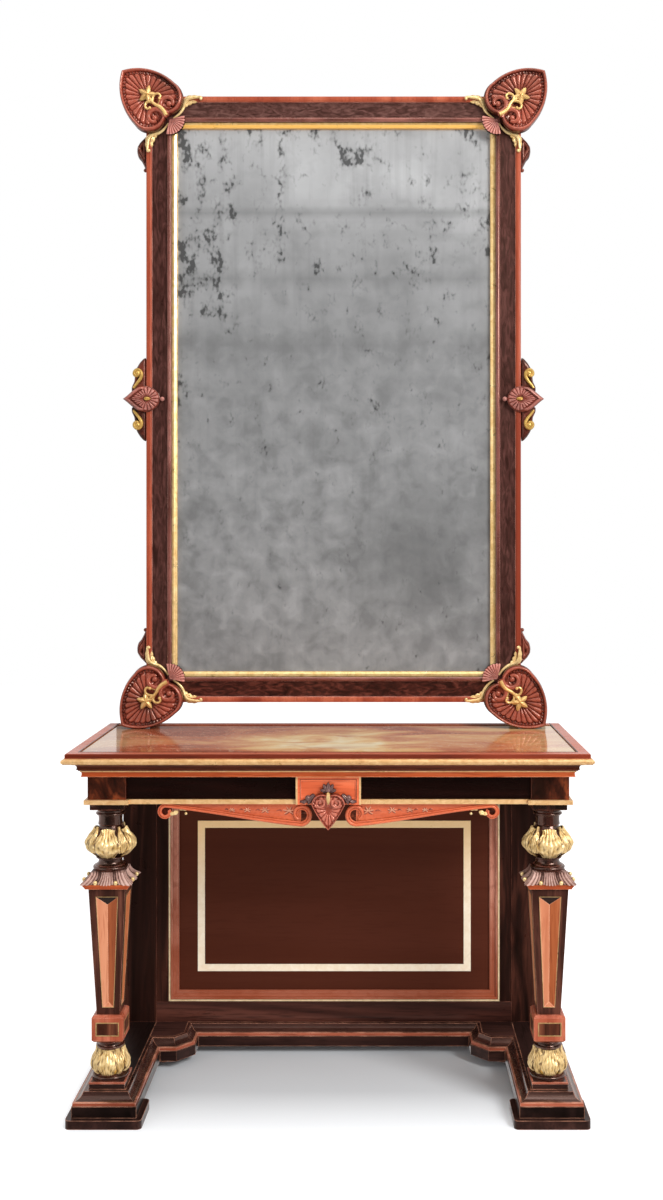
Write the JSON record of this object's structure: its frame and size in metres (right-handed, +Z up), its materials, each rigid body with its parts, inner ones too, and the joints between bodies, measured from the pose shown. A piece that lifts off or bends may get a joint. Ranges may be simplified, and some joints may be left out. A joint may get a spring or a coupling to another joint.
{
  "type": "pier table with mirror",
  "caption": "Tall pier table with a banded onyx top, carved front legs on runner feet and a panelled back, under a standing mirror framed in dark and red wood with carved corner shells.",
  "frame": {"origin": "on the floor, below the middle of the whole object's box", "axes": "+Z up, +X to the right as seen from the front, the front faces -Y and the back stands to the wall at +Y"},
  "size_m": [1.297, 0.52, 2.7428],
  "materials": {
    "rosewood": "French-polished dark rosewood veneer with reddish figure",
    "redwood": "polished light red carved wood",
    "salmon_veneer": "polished salmon-coloured veneer",
    "leaf_wood": "carved and polished brown wood",
    "gilt": "gilding over carved wood, rubbed on the high spots",
    "brown_panel": "flat brown panel with a polished lacquer",
    "onyx": "polished banded onyx in orange, brown and cream",
    "mirror_glass": "old silvered glass, grey and foxed at the edges",
    "back_wood": "plain unfinished softwood of the back and inside",
    "steel": "plain dark steel"
  },
  "bodies": {
    "root": {"apron_sprigs": "gilt", "back_bottom_rail": "rosewood", "back_panel": "brown_panel", "back_stiles": "rosewood", "back_top_rail": "rosewood", "base_band": "redwood", "base_moulding": "rosewood", "centre_block": "redwood", "corner_blocks": "rosewood", "corner_fans": "redwood", "corner_scrolls": "redwood", "corner_shells": "redwood", "die_tablets": "rosewood", "foot_pads": "rosewood", "frieze_blocks": "rosewood", "frieze_fillet": "redwood", "frieze_front": "rosewood", "frieze_gilt_moulding": "gilt", "frieze_sides": "rosewood", "heart_cartouche": "redwood", "leaf_caps": "leaf_wood", "leg_base_rings": "rosewood", "leg_dies": "redwood", "leg_lower_bulbs": "gilt", "leg_lower_necks": "rosewood", "leg_pillar_left": "rosewood", "leg_pillar_right": "rosewood", "leg_plinths": "redwood", "leg_tie_rods": "steel", "leg_upper_bulbs": "gilt", "leg_upper_rings": "rosewood", "leg_vases": "rosewood", "mirror_backboard": "back_wood", "mirror_bead": "salmon_veneer", "mirror_bottom_rail": "rosewood", "mirror_feet": "back_wood", "mirror_gilt_carving": "gilt", "mirror_gilt_slip": "gilt", "mirror_glass": "mirror_glass", "mirror_red_band": "redwood", "mirror_stiles": "rosewood", "mirror_top_rail": "rosewood", "panel_gilt_line": "gilt", "panel_moulding": "salmon_veneer", "pillar_facets": "salmon_veneer", "plate_screws": "steel", "rear_post_left": "rosewood", "rear_post_right": "rosewood", "rear_stretcher": "rosewood", "runner_left": "rosewood", "runner_right": "rosewood", "scroll_apron_left": "redwood", "scroll_apron_right": "redwood", "side_palmettes": "redwood", "stone_slab": "onyx", "top_board": "back_wood", "top_cove": "rosewood", "top_nosing": "gilt", "top_rim": "redwood", "wall_plates": "steel"}
  },
  "joints": []
}
